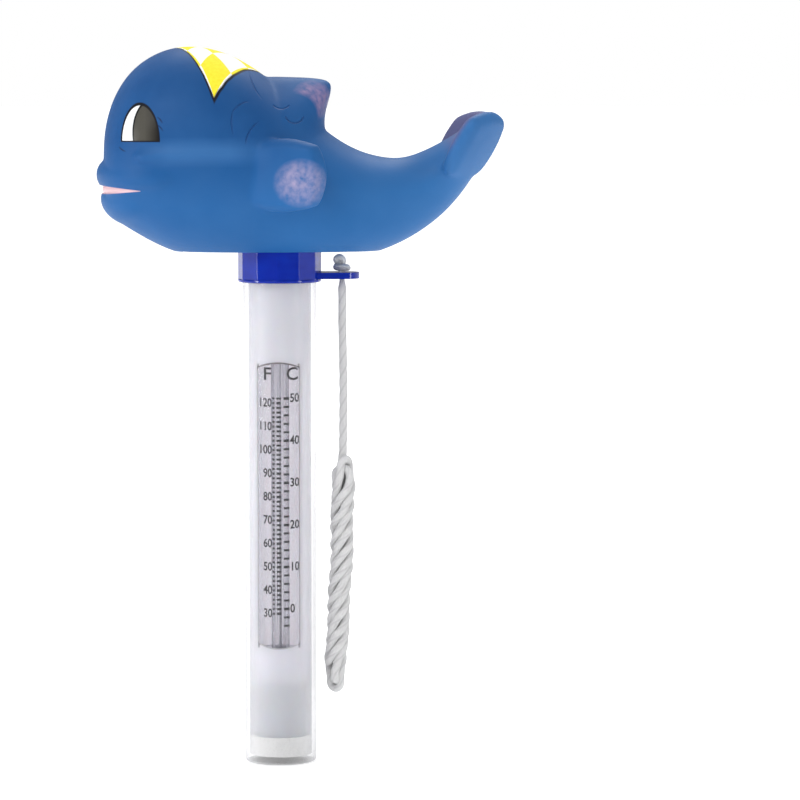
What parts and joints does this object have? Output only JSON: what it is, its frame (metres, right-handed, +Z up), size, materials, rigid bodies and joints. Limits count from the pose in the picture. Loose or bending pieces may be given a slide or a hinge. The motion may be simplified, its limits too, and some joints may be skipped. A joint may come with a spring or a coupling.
{
  "type": "floating pool thermometer",
  "caption": "Floating pool thermometer: a hollow whale float on a screw collar over a clear tube with an enclosed scale, and a tether cord in a hank.",
  "frame": {"origin": "on the tube's axis, at the water surface that the float rides at", "axes": "+Z up along the tube's axis, -X the way the whale looks, -Y the side the scale is read from, within a few degrees"},
  "size_m": [0.1343, 0.078, 0.2383],
  "materials": {
    "whale_skin": "semi-gloss moulded float with printed colours",
    "socket_plastic": "satin moulded plastic",
    "seal_rubber": "matte rubber",
    "collar_blue": "polished moulded plastic",
    "tube_clear": "clear polished plastic",
    "liner_white": "milky satin sleeve",
    "jacket_clear": "clear sleeve with a printed black scale",
    "stem_glass": "clear drawn glass",
    "spirit_dark": "liquid",
    "holder_plastic": "soft moulded plastic",
    "foam": "fine white foam",
    "ballast_steel": "turned",
    "cord_white": "twisted synthetic cord"
  },
  "bodies": {
    "tube": {"outer_tube": "tube_clear", "window_liner": "liner_white", "scale_jacket": "jacket_clear", "glass_stem": "stem_glass", "spirit_fill": "spirit_dark", "spirit_column": "spirit_dark", "bulb_cup": "holder_plastic", "stem_bush": "foam", "ballast_weight": "ballast_steel", "ballast_pad": "foam", "floor_pad": "foam"},
    "gasket": {"cap_gasket": "seal_rubber"},
    "collar": {"collar_cap": "collar_blue", "tether_cord": "cord_white", "cord_knot": "cord_white", "cord_hank": "cord_white"},
    "grip_ring": {"spigot_ring": "seal_rubber"},
    "float": {"whale_float": "whale_skin", "float_socket": "socket_plastic"},
    "spirit_level": {"spirit_head": "spirit_dark"}
  },
  "joints": [
    {"name": "cap_lift", "type": "slide", "parent": "tube", "child": "gasket", "axis": [0, 0, 1], "range_m": [0, 0.006]},
    {"name": "cap_turn", "type": "hinge", "parent": "gasket", "child": "collar", "pos_m": [0, 0, -0.025], "axis": [0, 0, 1], "range_deg": [0, 720]},
    {"name": "float_swivel", "type": "hinge", "parent": "collar", "child": "grip_ring", "pos_m": [0, 0, -0.0138], "axis": [0, 0, 1], "continuous": true},
    {"name": "float_pull_off", "type": "slide", "parent": "grip_ring", "child": "float", "axis": [0, 0, 1], "range_m": [0, 0.02]},
    {"name": "spirit_rise", "type": "slide", "parent": "tube", "child": "spirit_level", "axis": [0, 0, 1], "range_m": [-0.0376, 0.0327], "deforming": ["spirit_column"]}
  ],
  "couplings": [
    {"joint": "cap_turn", "follows": "cap_lift", "rad_per_m": 2094.4}
  ]
}
